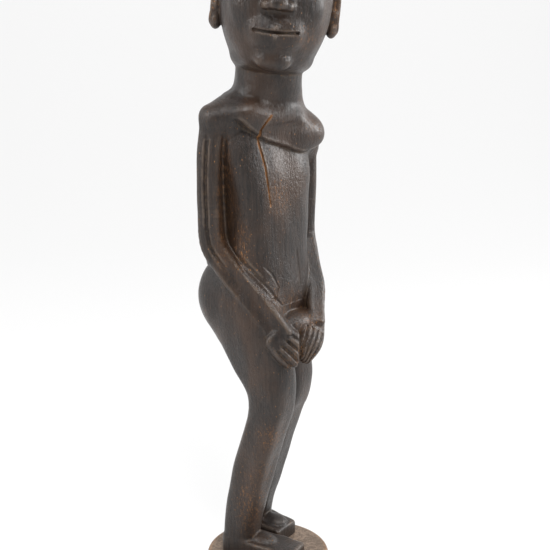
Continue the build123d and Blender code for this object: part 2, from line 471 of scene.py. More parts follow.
def head_field(p):
    """The head with a plain carved face and a close cap of hair."""
    q = into_head(p)
    skull = join(column(q, SKULL), ball(q, (0, 1.5, 60), (36.6, 41.6, 53.5)), 3.0)
    hair = smooth_step(-0.5, 0.5, above_hairline(q))
    around = np.arctan2(q[:, 0], CROWN_HEIGHT - q[:, 2])
    combing = 0.5 - 0.5 * np.cos(around * COMB_LINES)
    field = skull - hair * (HAIR_PROUD - 0.5 * combing)
    mirror = q.copy()
    mirror[:, 0] = np.abs(q[:, 0])
    x, y, z = mirror.T
    form = {name: ball(mirror, *place) for name, place in FACE.items()}
    front = (0, -1, 0)
    field = join(field, limb(mirror, BROW, front, 2.0, steps=8)[0], 4.0)
    field = trim(field, -form["socket"], 3.0)
    slit = np.hypot(z - EYE_LINE - 0.01 * (x - 15) ** 2, np.maximum(np.abs(x - 15) - 6.5, 0))
    field = join(field, form["eye"], 1.0) + 0.8 * (1 - smooth_step(0.2, 1.1, slit)) * (y < -20)
    field = join(field, form["cheek"], 6.0)
    nose = join(limb(q, NOSE, front, 2.4, steps=8)[0], form["wing"], 2.0)
    field = join(field, trim(nose, 36.6 - z, 1.5), 3.0)
    field = join(field, form["muzzle"], 5.0)
    for height, out, half_width, thick in LIPS:
        middle = (0, -1, out - 1.4, height, thick, thick)
        corner = (1, half_width, out + 5, MOUTH_LINE, 1.0, 1.0)
        field = join(field, limb(mirror, (middle, corner), front, 2.0, steps=6)[0], 1.6)
    mouth = np.hypot(z - MOUTH_LINE - 0.004 * x**2, np.maximum(x - 14.0, 0))
    field = field + 1.6 * (1 - smooth_step(0.2, 1.3, mouth)) * (y < -20)
    return join(field, form["chin"], 5.0)


def ear_field(p, hand):
    """A long flat ear off the side of the head: rim, hollow with its inner ridge, and lobe."""
    q = into_head(p)
    form = {}
    for name, ((out, back, up), radii) in EAR.items():
        form[name] = ball(q, (hand * out, back, EAR_MIDDLE + up), radii)
    halves = (4.1, 8.2, EAR_HALF_HEIGHT + 0.6)
    strip = plate(q, (hand * 37.8, 4, EAR_MIDDLE), halves, 2.0, turn=hand * 8)
    ear = join(trim(strip, form["outline"], 1.5), form["lobe"], 2.5)
    return join(join(trim(ear, -form["hollow"], 1.0), form["ridge"], 1.2), form["flap"], 1.2)


def leg_part(p, rows, bottom, top):
    """A thigh or a lower leg between two heights."""
    rows = np.asarray(rows, float)
    low = (rows[:, 1:3] - rows[:, 3:5]).min(axis=0) - 1
    high = (rows[:, 1:3] + rows[:, 3:5]).max(axis=0) + 1
    return near(p, (*low, bottom), (*high, top), column, rows)


def shoulder_field(p):
    """The bar of the shoulders, higher on the right."""
    return limb(p, SHOULDERS, (0, -0.2, 1), 2.3)[0]


def figure_field(p):
    """The whole figure above its base."""
    field = near(p, (-38, 2, 198), (38, 50, 256), buttocks_field)
    field = join(field, near(p, (-38, -28, 196), (38, 36, 366), column, TRUNK), 7.0)
    lower = []
    for side in LEGS:
        knee = join(leg_part(p, THIGHS[side], 139, 240), leg_part(p, LEGS[side], 22, 170), 3.0)
        crease = near(p, (-30, -8, 140), (40, 34, 156), knee_crease, side)
        foot = near(p, (-30, -40, 20), (40, 48, 42), foot_field, side)
        lower.append(join(trim(knee, -crease, 1.0), foot, 2.0))
    field = join(field, join(*lower, 2.0), 5.0)
    field = join(field, near(p, (-52, -26, 318), (54, 30, 370), shoulder_field), 5.0)
    field = join(field, near(p, (-44, -32, 322), (46, 10, 370), breast_field), 5.0)
    field = join(field, near(p, (-28, -28, 350), (28, 28, 400), column, NECK), 7.0)
    field = near_change(p, field, (-56, -40, 224), (56, 30, 376), front_marks)
    for side, web in WEBS.items():
        path = np.asarray(ARMS[side], float)[:, 1:4]
        arm = near(p, path.min(axis=0) - 12, path.max(axis=0) + 12, arm_field, side)
        field = join(join(field, plate(p, web, WEB_HALVES, 3.0), 3.0), arm, 1.6)
    mound = near(p, (-22, -40, 196), (24, -10, 224), ball, (1, -25.5, 209), (19, 10, 9), -4)
    field = join(field, mound, 2.0)
    for side in HANDS:
        field = join(field, near(p, (-44, -52, 165), (36, -12, 228), hand_field, side), 1.2)
    field = join(field, near(p, (-50, -58, 370), (50, 46, 502), head_field), 2.5)
    for hand in (-1, 1):
        field = join(field, near(p, (-50, -50, 395), (50, 46, 455), ear_field, hand), 1.2)
    return field + unevenness(p)


def knee_crease(p, side):
    """The notch cut across the back of a knee, running down round its outer side."""
    knee = LEGS[side][5]
    q = p - (knee[1], knee[2] + 15.5, 149.5)
    across = q[:, 0]
    fall = q[:, 2] + 0.16 * np.abs(across)
    return ball(np.stack([across, q[:, 1], fall], 1), (0, 0, 0), (17, 4.6, 2.6))


def near_change(p, field, low, high, change):
    """A field with a change made only inside a box."""
    inside = ((p > np.asarray(low)) & (p < np.asarray(high))).all(axis=1)
    if inside.any():
        field = field.copy()
        field[inside] += change(p[inside])
    return field


def unevenness(p):
    """The slight waviness that a knife leaves, in long shallow facets along the grain."""
    x, y, z = p.T
    waves = (
        np.sin(x * 0.33 + 1.3 * np.sin(z * 0.045) + 0.4)
        + np.sin(y * 0.37 + 1.1 * np.sin(z * 0.052 + 1.0) + 2.1)
        + np.sin((x + y) * 0.23 - z * 0.061 + 0.7)
        + 0.6 * np.sin(z * 0.19 + 0.21 * x - 0.17 * y)
    )
    return bpy.context.scene.carving.knife_waves / MM * waves


def breast_field(p):
    """The swelling front of the shoulder yoke, heavier on the left."""
    left = ball(p, (21.5, -11, 338.5), (20.5, 13.5, 14.5), CHEST_TURN)
    right = ball(p, (-20, -5, 355), (17, 11, 11), CHEST_TURN)
    return join(left, right, 10.0)


def front_marks(p):
    """What is cut into the chest and belly: the undercut of the yoke, the crack and the folds."""
    q = turned(p, CHEST_CENTRE, CHEST_TURN)
    across, back, height = q.T
    facing = 1 - smooth_step(-8, 0, back)
    edge = eased(np.asarray(YOKE_EDGE, float), across)[:, 0]
    below = edge - height
    undercut = smooth_step(-1.0, 1.8, below) * np.exp(-np.maximum(below - 1.8, 0) / 22)
    carving = bpy.context.scene.carving
    inward = smooth_step(-38, -27, across)
    cut = carving.undercut / MM * undercut * facing * inward
    flat = np.stack([across, height], axis=1)
    gap, share = along_line(flat, CRACK)
    width = 0.9 * np.sqrt(np.clip(4 * share * (1 - share) + 0.12, 0, 1)) * (1.35 - 0.8 * share)
    cut += carving.crack / MM * (1 - smooth_step(width * 0.4, width, gap)) * facing
    for line, wide, deep in BELLY_FOLDS:
        gap, share = along_line(flat, line)
        taper = np.clip(4 * share * (1 - share) * 2, 0, 1)
        cut += deep * taper * (1 - smooth_step(0, wide, gap)) * facing
    for x, z, wide, high, deep in NECK_PIT:
        cut += deep * np.exp(-(((across - x) / wide) ** 2) - ((height - z) / high) ** 2) * facing
    return cut


def arm_field(p, side):
    """An arm with a channel down its outer face and a line along the upper arm."""
    field, beside, share = limb(p, ARMS[side], ARM_OUTWARD[side], 3.4)
    forearm = smooth_step(0.6, 0.7, share)
    channel = forearm * 1.7 * np.clip(1 - (beside / 0.72) ** 2, 0, 1)
    line = (1 - forearm) * 1.5 * (1 - smooth_step(0.02, 0.24, np.abs(beside - 0.1)))
    return field + channel + line * smooth_step(0.05, 0.15, share)


def hand_field(p, side):
    """A flat hand with its fingers parted by knife cuts, ending at the palms' meeting line."""
    field, beside, share = limb(p, HANDS[side], HAND_OUTWARD, 3.0, steps=12)
    for place in FINGER_CUTS:
        groove = np.abs(beside - place)
        cut = 1.5 * (1 - smooth_step(0.0, 0.15, groove)) * smooth_step(0.2, 0.4, share)
        field = field + cut
    beyond = (p[:, 0] - PALM_LINE[0]) * cos(PALM_WAY) + (p[:, 1] - PALM_LINE[1]) * sin(PALM_WAY)
    beyond = beyond if side == "right" else -beyond
    return trim(field, beyond + 0.2, 1.2)


def buttocks_field(p):
    """Two round seats standing out behind the hips."""
    right = ball(p, (-17.5, 22, 224.5), (20, 22.5, 28.5))
    left = ball(p, (18, 23, 223), (20, 22, 28.5))
    return join(right, left, 4.0)


def base_field(p):
    """The round base with its rubbed edge."""
    ring = np.hypot(p[:, 0], p[:, 1]) - BASE_RADIUS + 0.3
    upright = np.abs(p[:, 2] - BASE_TOP / 2) - BASE_TOP / 2
    return trim(ring, upright, 3.0)


# ---------------------------------------------------------------- a field's skin


# Steps to a coarse cell; the corners a slope is read from; how far off the wood's swell is read
COARSE = 4
TETRAHEDRON = np.array(((1, -1, -1), (-1, -1, 1), (-1, 1, -1), (1, 1, 1)), float)
SWELL_REACH = 1.1


def skin(field, low, high, step):
    """The surface of a field inside a box, as points in millimetres and four-sided faces."""
    coarse = COARSE
    low = np.asarray(low, float)
    count = np.ceil((np.asarray(high, float) - low) / step / coarse).astype(int) + 1
    cell = step * coarse

    def clipped(p):
        gap = np.maximum(low + step * 2 - p, p - (low + (count * coarse - 3) * step)).max(axis=1)
        return np.maximum(field(p), gap)

    centres = np.stack(
        np.meshgrid(*[(np.arange(n) + 0.5) * cell - step / 2 for n in count], indexing="ij"), -1
    ).reshape(-1, 3)
    rough = clipped(centres + low)
    grid = np.repeat(
        np.repeat(np.repeat(rough.reshape(count), coarse, 0), coarse, 1), coarse, 2
    ).astype(np.float32)
    close = np.argwhere(np.abs(rough).reshape(count) < cell * 1.6)
    offsets = np.stack(np.meshgrid(*[np.arange(coarse)] * 3, indexing="ij"), -1).reshape(-1, 3)
    voxels = (close[:, None, :] * coarse + offsets[None]).reshape(-1, 3)
    grid[tuple(voxels.T)] = clipped(voxels * step + low)
    volume = openvdb.FloatGrid(float(cell))
    volume.copyFromArray(grid)
    points, quads = volume.convertToQuads(isovalue=0.0)
    points = points.astype(float) * step + low
    value, slope = rise(clipped, points)
    for _ in range(3):
        points -= slope * (value / np.maximum((slope**2).sum(axis=1), 0.2))[:, None]
        value = clipped(points)
    return points, quads


def rise(field, p, gap=0.05):
    """A field's value at each point, and which way and how fast it rises there."""
    around = [field(p + way * gap) for way in TETRAHEDRON]
    slope = sum(way * value[:, None] for way, value in zip(TETRAHEDRON, around)) / (4 * gap)
    return sum(around) / 4, slope


# ---------------------------------------------------------------- cutting the members out

# Half the size of a block that reaches past the figure, and how far a sheath opens outward
FAR = 160.0
SHEATH_REACH = 30.0
# Points of a cut closer than this many metres are one, and fewer points than this are a crumb
CLOSE_UP = 2e-6
CRUMB = 60


def half(point, away):
    """A block that fills everything on one side of a flat cut through a point."""
    away = Vector(away).normalized()
    turn = away.to_track_quat("Z", "Y").to_matrix().to_4x4()
    return Matrix.Translation(Vector(point) + away * FAR) @ turn @ Matrix.Diagonal((FAR, FAR, FAR, 1))


def slab(bottom, top):
    """A level block between two heights, wide enough for the whole figure."""
    middle = Matrix.Translation((0, 0, (bottom + top) / 2))
    return middle @ Matrix.Diagonal((FAR, FAR, (top - bottom) / 2, 1))


def sheath(start, end, outward, half_width, depth):
    """A block along a member's line, open outward and reaching so deep under the line."""
    start, end, outward = Vector(start), Vector(end), Vector(outward)
    along = (end - start).normalized()
    across = along.cross(outward).normalized()
    out = across.cross(along)
    length = (end - start).length / 2
    centre = (start + end) / 2 + out * (SHEATH_REACH - depth) / 2
    axes = Matrix((across, along, out)).transposed().to_4x4()
    halves = (half_width, length, (SHEATH_REACH + depth) / 2)
    return Matrix.Translation(centre) @ axes @ Matrix.Diagonal((*halves, 1))


def chest_point(across, back, height):
    """A point of the chest's own frame, as the figure's."""
    c, s = cos(radians(CHEST_TURN)), sin(radians(CHEST_TURN))
    x, y = CHEST_CENTRE
    return (x + across * c - back * s, y + across * s + back * c, height)


def head_way(across, back, up):
    """A direction of the leaning head's frame, as the figure's."""
    turn, roll = radians(HEAD_TURN), radians(HEAD_ROLL)
    level = across * cos(roll) + up * sin(roll)
    height = up * cos(roll) - across * sin(roll)
    return Vector(
        (level * cos(turn) - back * sin(turn), level * sin(turn) + back * cos(turn), height)
    )


def head_point(across, back, up):
    """A point of the leaning head's frame, as the figure's."""
    pivot = Vector((*HEAD_CENTRE, CHIN + HEAD_PIVOT))
    return pivot + head_way(across, back, up - HEAD_PIVOT)


# The flat cuts: each is a point and the way that its far side lies
YOKE_WAY = Vector(
    (
        sin(radians(YOKE_FALL)) * cos(radians(CHEST_TURN)),
        sin(radians(YOKE_FALL)) * sin(radians(CHEST_TURN)),
        cos(radians(YOKE_FALL)),
    )
)
YOKE_CUT = ((*CHEST_CENTRE, YOKE), YOKE_WAY)
ARM_CUT = 32.5
SIDE_WAY = Vector(chest_point(1, 0, 0)) - Vector(chest_point(0, 0, 0))
ARM_CUTS = {
    "right": (chest_point(-ARM_CUT, 0, 300), -SIDE_WAY),
    "left": (chest_point(ARM_CUT, 0, 300), SIDE_WAY),
}
FEET_CUT = ((7.3, 8, ANKLE), (0.988, 0.156, 0))
LEGS_CUT = ((5.0, 0, ANKLE), (1, 0, 0))
THIGHS_CUT = ((2.0, 0, KNEE), (1, 0, 0))
PALM_WAY = radians(CHEST_TURN - 40)
PALM_CUT = ((*PALM_LINE, 190), (cos(PALM_WAY), sin(PALM_WAY), 0))
HAIR_CUT = (head_point(0, 0, HAIRLINE), head_way(0, HAIR_SLOPE, 1))

# Blocks around the forearms and hands
SHEATHS = {
    "right_forearm": ((-41, 26, 274), (-20, -28, 207), ARM_OUTWARD["right"], 12.0, 8.6),
    "left_forearm": ((43, 6, 276), (14, -32, 208), ARM_OUTWARD["left"], 12.0, 8.6),
    "right_hand": ((-22.2, -26.9, 211.7), (-10.5, -38, 175), HAND_OUTWARD, 14.5, 7.6),
    "left_hand": ((17, -30.8, 214.2), (-5.5, -39.5, 175), (-0.1, -1, 0.1), 14.5, 7.6),
}


def under(cut):
    """The near side of a flat cut."""
    point, away = cut
    return half(point, -Vector(away))


def members():
    """Every member of the figure: its box, what it is kept inside and what is cut out of it."""
    sheaths = {name: sheath(*spec) for name, spec in SHEATHS.items()}
    hands = [
        (sheaths["right_hand"], under(PALM_CUT)),
        (sheaths["left_hand"], half(*PALM_CUT)),
    ]
    forearms = [(sheaths[side + "_forearm"], slab(KNEE, WAIST)) for side in ARMS]
    table = {
        "right_foot": ((-32, -36, 20), (16, 34, 43), [slab(BASE_TOP, ANKLE), under(FEET_CUT)], []),
        "left_foot": ((2, -8, 20), (40, 50, 43), [slab(BASE_TOP, ANKLE), half(*FEET_CUT)], []),
        "right_lower_leg": ((-32, -36, 34), (9, 36, 151), [slab(ANKLE, KNEE), under(LEGS_CUT)], []),
        "left_lower_leg": ((2, -22, 34), (42, 50, 151), [slab(ANKLE, KNEE), half(*LEGS_CUT)], []),
        "right_thigh": ((-42, -52, 143), (6, 46, 206), [slab(KNEE, HIP), under(THIGHS_CUT)], hands),
        "left_thigh": ((-2, -52, 143), (46, 46, 206), [slab(KNEE, HIP), half(*THIGHS_CUT)], hands),
        "hips": ((-52, -52, 198), (50, 54, 262), [slab(HIP, WAIST)], hands + forearms),
        "belly": (
            (-48, -36, 254),
            (48, 40, 366),
            [slab(WAIST, NECK_BASE), under(YOKE_CUT), *[under(cut) for cut in ARM_CUTS.values()]],
            [],
        ),
        "chest": ((-56, -36, 318), (58, 40, 370), [slab(HIP, NECK_BASE), half(*YOKE_CUT)], []),
        "neck": ((-36, -38, 362), (34, 36, 388), [slab(NECK_BASE, CHIN)], []),
        "head": ((-54, -58, 380), (50, 48, 500), [slab(CHIN, CROWN), under(HAIR_CUT)], []),
        "hair_cap": ((-50, -54, 405), (50, 50, 504), [half(*HAIR_CUT)], []),
    }
    turn = Matrix((head_way(1, 0, 0), head_way(0, 1, 0), head_way(0, 0, 1))).transposed().to_4x4()
    around_ear = Vector((14, 14, 25))
    for side, hand in (("right", -1), ("left", 1)):
        ear = Matrix.Translation(head_point(hand * 46.8, 4, EAR_MIDDLE))
        block = ear @ turn @ Matrix.Diagonal((10.5, 10, 21, 1))
        table["head"][3].append((block,))
        middle = head_point(hand * 40, 4, EAR_MIDDLE)
        table[side + "_ear"] = (middle - around_ear, middle + around_ear, [block], [])
        arm = np.asarray(ARMS[side], float)[:, 1:4]
        upper = arm[arm[:, 2] > WAIST - 12]
        table[side + "_upper_arm"] = (
            (*(upper.min(axis=0) - 16)[:2], WAIST - 4),
            (*(upper.max(axis=0) + 16)[:2], 366),
            [slab(WAIST, NECK_BASE), under(YOKE_CUT), half(*ARM_CUTS[side])],
            [],
        )
        lower = arm[arm[:, 2] < WAIST + 10]
        table[side + "_forearm"] = (
            lower.min(axis=0) - 18,
            (*(lower.max(axis=0) + 18)[:2], WAIST + 4),
            [slab(KNEE, WAIST), sheaths[side + "_forearm"]],
            hands + (forearms[:1] if side == "left" else []),
        )
        palm = under(PALM_CUT) if side == "right" else half(*PALM_CUT)
        table[side + "_hand"] = ((-46, -72, 152), (40, -8, 228), [sheaths[side + "_hand"], palm], [])
    return table


def cutter(name, *places):
    """What blocks share, to cut with: each is a matrix that places a two-unit cube."""
    blocks = [block_at(name, place) for place in places]
    for other in blocks[1:]:
        change_shape(blocks[0], other, "INTERSECT")
    return blocks


def block_at(name, place):
    """One block as an object, from its matrix in millimetres."""
    mesh = bpy.data.meshes.new(name)
    block = bmesh.new()
    bmesh.ops.create_cube(block, size=2.0)
    bmesh.ops.transform(block, matrix=Matrix.Scale(MM, 4) @ place, verts=block.verts)
    block.to_mesh(mesh)
    block.free()
    thing = bpy.data.objects.new(name, mesh)
    bpy.context.scene.collection.objects.link(thing)
    return thing


def change_shape(piece, tool, operation):
    """One Boolean cut, worked out later with the rest."""
    change = piece.modifiers.new(tool.name, "BOOLEAN")
    change.object = tool
    change.operation = operation
    change.solver = "MANIFOLD"


def carve(name, field, low, high, keep, drop):
    """One member: the field's skin in a box, kept inside some blocks and cleared of others."""
    points, quads = skin(field, low, high, bpy.context.scene.carving.step / MM)
    mesh = bpy.data.meshes.new(name)
    mesh.from_pydata((points * MM).tolist(), [], quads.tolist())
    piece = bpy.data.objects.new(name, mesh)
    bpy.context.scene.collection.objects.link(piece)
    blocks = []
    for region, operation in [((k,), "INTERSECT") for k in keep] + [(d, "DIFFERENCE") for d in drop]:
        tool = cutter(name + "_cut", *region)
        change_shape(piece, tool[0], operation)
        blocks += tool
    graph = bpy.context.evaluated_depsgraph_get()
    cut = bpy.data.meshes.new_from_object(piece.evaluated_get(graph))
    piece.modifiers.clear()
    piece.data = cut
    bpy.data.meshes.remove(mesh)
    cut.name = name
    clean(cut)
    planes = []
    for block in blocks:
        for side in block.data.polygons:
            planes.append((np.array(side.normal), np.array(side.center)))
    for block in blocks:
        bpy.data.meshes.remove(block.data)
    if not cut.polygons:
        raise RuntimeError("nothing is left of " + name)
    finish_skin(piece, field, planes)
    return piece


def clean(mesh):
    """Closes up the short edges that a cut left, and drops its crumbs and its folded faces."""
    shape = bmesh.new()
    shape.from_mesh(mesh)
    bmesh.ops.remove_doubles(shape, verts=shape.verts, dist=CLOSE_UP)
    bmesh.ops.dissolve_degenerate(shape, dist=CLOSE_UP, edges=shape.edges)
    bmesh.ops.triangulate(shape, faces=shape.faces[:])
    backed = {}
    for face in shape.faces:
        backed.setdefault(frozenset(face.verts), []).append(face)
    folded = [face for faces in backed.values() if len(faces) > 1 for face in faces]
    bmesh.ops.delete(shape, geom=folded, context="FACES")
    waiting = set(shape.verts)
    crumbs = []
    while waiting:
        island = [waiting.pop()]
        for vert in island:
            for edge in vert.link_edges:
                other = edge.other_vert(vert)
                if other in waiting:
                    waiting.remove(other)
                    island.append(other)
        if len(island) < CRUMB:
            crumbs += island
    bmesh.ops.delete(shape, geom=crumbs, context="VERTS")
    shape.to_mesh(mesh)
    shape.free()


def numbers(items, name, kind=float, width=1):
    """A property of many mesh items as one array."""
    values = np.empty(len(items) * width, kind)
    items.foreach_get(name, values)
    return values.reshape(-1, width) if width > 1 else values


def finish_skin(piece, field, planes):
    """Smooth skin that shades as the carving does, flat cuts, and the marks the finish needs."""
    mesh = piece.data
    mesh.shade_smooth()
    places = numbers(mesh.vertices, "co", width=3) / MM
    value, slope = rise(field, places)
    slope /= np.maximum(np.linalg.norm(slope, axis=1, keepdims=True), 1e-9)
    around, _ = rise(field, places, gap=SWELL_REACH)
    swell = (around - value) / SWELL_REACH
    marks = {
        # how convex the skin is; the dark wood is painted paler here, partly as wear and partly as a
        # painted highlight
        "proud": smooth_step(0.05, 0.28, swell),
        "hollow": smooth_step(0.04, 0.4, -swell),
        "split": crack_depth(places),
        "rubbed": rubbed(places),
    }
    for name, values in marks.items():
        layer = mesh.attributes.new(name, "FLOAT", "POINT")
        layer.data.foreach_set("value", values.astype(np.float32))
    normals = slope[numbers(mesh.loops, "vertex_index", int)]
    flat = numbers(mesh.polygons, "normal", width=3)
    middle = numbers(mesh.polygons, "center", width=3)
    cap = np.zeros(len(flat), bool)
    for normal, centre in planes:
        level = np.abs((middle - centre) @ normal) < CLOSE_UP
        cap |= level & (np.abs(flat @ normal) > 0.9999)
    of_face = np.repeat(np.arange(len(flat)), numbers(mesh.polygons, "loop_total", int))
    normals[cap[of_face]] = flat[of_face][cap[of_face]]
    mesh.normals_split_custom_set(normals.tolist())


def crack_depth(p):
    """How near a point of the chest's front is to the crack, from 0 to 1."""
    q = turned(p, CHEST_CENTRE, CHEST_TURN)
    gap, share = along_line(q[:, [0, 2]], CRACK)
    return (1 - smooth_step(0.2, 1.15 - 0.5 * share, gap)) * (q[:, 1] < -2)


# Places rubbed through to bare wood: x, y, z, reach across, reach in height and strength
RUBBED = (
    (-9, -15, 299, 7, 12, 0.9),
    (-37, 8, 300, 6, 45, 0.75),
    (-28, -2, 262, 6, 22, 0.9),
    (-26, 4, 240, 8, 12, 0.7),
    (-20, -22, 128, 9, 10, 1.0),
    (-18, 0, 70, 10, 26, 0.8),
    (-16, -8, 100, 10, 16, 0.6),
    (24, -13, 345, 16, 6, 0.5),
    (5, -30, 210, 14, 8, 0.6),
    (-14, -38, 190, 9, 9, 0.7),
    (36, -12, 235, 8, 24, 0.4),
    (-6, -44, 404, 18, 8, 0.5),
    (-12, -26, 225, 14, 10, 0.5),
)


def rubbed(p):
    """Where the dark finish is rubbed thin, from 0 to 1."""
    most = np.zeros(len(p))
    for x, y, z, across, high, strength in RUBBED:
        away = ((p[:, 0] - x) ** 2 + (p[:, 1] - y) ** 2) / across**2 + ((p[:, 2] - z) / high) ** 2
        most = np.maximum(most, strength * np.exp(-away))
    q = into_head(p)
    ear = smooth_step(36.5, 40.5, np.abs(q[:, 0])) * (np.abs(q[:, 2] - EAR_MIDDLE) < 22)
    return np.maximum(most, ear * (0.3 + 0.45 * (q[:, 0] > 0)))


def settle(piece, node):
    """Gives a finished member its body and its finish, and hides its design node's part."""
    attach(piece, BODY)
    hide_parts(node)
    piece.data.materials.clear()
    piece.data.materials.append(base_wood() if node == "base" else figure_wood())


# ---------------------------------------------------------------- finishes


class Wire:
    """A shader socket that can be used in sums, so that a mask reads as it is worked out."""

    def __init__(self, tree, socket):
        self.tree = tree
        self.socket = socket

    def sum(self, operation, *values):
        """One Math node."""
        return self.tree.node("ShaderNodeMath", {"operation": operation}, dict(enumerate(values)))

    def __add__(self, other):
        return self.sum("ADD", self, other)

    def __sub__(self, other):
        return self.sum("SUBTRACT", self, other)

    def __rsub__(self, other):
        return self.sum("SUBTRACT", other, self)

    def __mul__(self, other):
        return self.sum("MULTIPLY", self, other)

    def most(self, other):
        """The larger of two values."""
        return self.sum("MAXIMUM", self, other)

    def above(self, low, high):
        """0 below low, 1 above high and an even rise between."""
        settings = {"interpolation_type": "SMOOTHSTEP"}
        values = {"Value": self, "From Min": low, "From Max": high}
        return self.tree.node("ShaderNodeMapRange", settings, values)

    __radd__ = __add__
    __rmul__ = __mul__


class Finish:
    """One material's nodes."""

    def __init__(self, name):
        self.material = bpy.data.materials.new(name)
        self.material.use_nodes = True
        self.nodes = self.material.node_tree.nodes
        self.links = self.material.node_tree.links
        self.shader = self.nodes["Principled BSDF"]

    def node(self, kind, settings, values, output=0):
        """A node of any kind with its settings and the values or links of its sockets."""
        made = self.nodes.new(kind)
        for name, setting in settings.items():
            setattr(made, name, setting)
        for name, value in values.items():
            self.give(made.inputs[name], value)
        return Wire(self, made.outputs[output])

    def give(self, socket, value):
        """Links or sets one socket."""
        if isinstance(value, Wire):
            self.links.new(value.socket, socket)
        else:
            socket.default_value = value

    def mark(self, name):
        """One of the marks kept on the mesh's points."""
        return self.node("ShaderNodeAttribute", {"attribute_name": name}, {}, "Fac")

    def place(self, across, along):
        """Places on the wood in millimetres, stretched along the upright grain."""
        spot = self.node("ShaderNodeTexCoord", {}, {}, "Object")
        stretch = (across / MM, across / MM, along / MM)
        return self.node("ShaderNodeVectorMath", {"operation": "MULTIPLY"}, {0: spot, 1: stretch})

    def noise(self, across, along, detail=3.0, rough=0.55, bend=0.0):
        """Cloudy noise with so many lumps to the millimetre across the grain and along it."""
        values = {
            "Vector": self.place(across, along),
            "Scale": 1.0,
            "Detail": detail,
            "Roughness": rough,
            "Distortion": bend,
        }
        return self.node("ShaderNodeTexNoise", {"noise_dimensions": "3D"}, values, "Fac")

    def cells(self, across, along):
        """Distance from the nearest of scattered points, which makes pits and specks."""
        values = {"Vector": self.place(across, along), "Scale": 1.0, "Randomness": 1.0}
        return self.node("ShaderNodeTexVoronoi", {"feature": "F1"}, values, "Distance")

    def blend(self, share, first, second):
        """A colour between two, by a share from 0 to 1."""
        made = self.nodes.new("ShaderNodeMix")
        made.data_type = "RGBA"
        made.clamp_factor = True
        self.give(made.inputs["Factor"], share)
        for socket, colour in ((made.inputs[6], first), (made.inputs[7], second)):
            self.give(socket, colour if isinstance(colour, Wire) else (*colour, 1.0))
        return Wire(self, made.outputs[2])

    def raised(self, height, strength, depth):
        """A bump from a height between 0 and 1, standing so many millimetres proud."""
        values = {"Height": height, "Strength": strength, "Distance": depth * MM}
        return self.node("ShaderNodeBump", {}, values, "Normal")

    def coat(self, values):
        """Sets or links the shader's own sockets."""
        for name, value in values.items():
            self.give(self.shader.inputs[name], value)
        return self.material


PIT_COLOUR = (0.008, 0.006, 0.005)


def figure_wood():
    """Near-black oiled wood, its grain upright, rubbed to brown and bare wood in places, and paler along
    its ridges, partly from wear and partly as a painted highlight.
    """
    found = bpy.data.materials.get("carved_wood")
    if found:
        return found
    colours = bpy.context.scene.carving
    wood = Finish("carved_wood")
    grain = wood.noise(0.7, 0.04, 5, 0.65, 0.6)
    fibre = wood.noise(2.6, 0.07, 3, 0.6)
    cloud = wood.noise(0.035, 0.016, 3, 0.55)
    patch = wood.noise(0.11, 0.05, 4, 0.6, 0.5)
    speck = wood.cells(0.45, 0.26)
    pit = wood.cells(0.8, 0.24)
    scratch = wood.noise(1.7, 0.11, 2, 0.5, 1.6)
    nick = wood.noise(0.42, 0.36, 3, 0.65)
    proud = wood.mark("proud")
    hollow = wood.mark("hollow")
    split = wood.mark("split")
    rubbed_through = wood.mark("rubbed")
    dark = wood.blend(grain.above(0.42, 0.60), colours.dark_wood, colours.dark_grain_and_shade)
    dark = wood.blend(cloud.above(0.46, 0.68) * 0.55, dark, colours.warm_wood)
    dark = wood.blend(fibre.above(0.55, 0.75) * 0.35, dark, colours.worn_and_sheen_wood)
    # Paler brown on the convex ridges: partly real wear, partly a painted highlight along the ridges
    dark = wood.blend(proud * patch.above(0.34, 0.58) * 0.85, dark, colours.worn_and_sheen_wood)
    dark = wood.blend(hollow * nick.above(0.42, 0.62) * 0.55, dark, colours.dust)
    thin = rubbed_through * (0.25 + 0.75 * grain.above(0.42, 0.6))
    dark = wood.blend(thin * 0.7, dark, colours.warm_wood)
    chipped = (1 - speck.above(0.06, 0.20)) * nick.above(0.47, 0.56)
    chipped = chipped * (rubbed_through * 2.2 + 0.45 + proud) * patch.above(0.40, 0.54)
    streaky = rubbed_through * scratch.above(0.52, 0.62) * nick.above(0.44, 0.56)
    bare = (chipped * 1.3).most(streaky * 0.95).most(split * 0.95)
    bare_colour = wood.blend(fibre, colours.bare_wood, colours.bare_dark)
    colour = wood.blend(bare, dark, bare_colour)
    pits = 1 - pit.above(0.05, 0.24)
    colour = wood.blend(pits * nick.above(0.4, 0.6) * 0.7, colour, PIT_COLOUR)
    rough = 0.27 + 0.15 * grain + 0.10 * (1 - cloud.above(0.4, 0.6)) - 0.08 * proud
    rough = rough + 0.30 * bare + 0.22 * pits + 0.12 * hollow
    height = 0.55 * grain + 0.10 * fibre + 0.22 * scratch - 0.40 * pits - 0.35 * bare
    height = height + 0.55 * nick
    return wood.coat(
        {
            "Base Color": colour,
            "Roughness": rough,
            "Normal": wood.raised(height, 0.8, 0.9),
            "Coat Weight": 0.06,
            "Coat Roughness": 0.25,
            "Specular IOR Level": 0.42,
        }
    )


def base_wood():
    """The base's paler, drier wood, with its grain showing."""
    found = bpy.data.materials.get("turned_wood")
    if found:
        return found
    colours = bpy.context.scene.carving
    wood = Finish("turned_wood")
    grain = wood.noise(0.4, 0.05, 5, 0.6, 0.8)
    cloud = wood.noise(0.05, 0.05, 3, 0.6)
    nick = wood.noise(0.8, 0.8, 4, 0.65)
    hollow = wood.mark("hollow")
    proud = wood.mark("proud")
    colour = wood.blend(grain.above(0.38, 0.62), colours.base_wood, colours.base_grain)
    colour = wood.blend(cloud.above(0.45, 0.65) * 0.5, colour, colours.base_grain)
    colour = wood.blend(proud * nick.above(0.4, 0.6) * 0.5, colour, colours.bare_wood)
    # Darker grain colour in the base's hollows: painted shade
    colour = wood.blend(hollow * 0.6, colour, colours.dark_grain_and_shade)
    rough = 0.5 + 0.2 * grain
    tooled = wood.raised(0.5 * grain + 0.5 * nick, 0.5, 0.5)
    return wood.coat({"Base Color": colour, "Roughness": rough, "Normal": tooled})


WHITE = (1.0, 1.0, 1.0, 1.0)


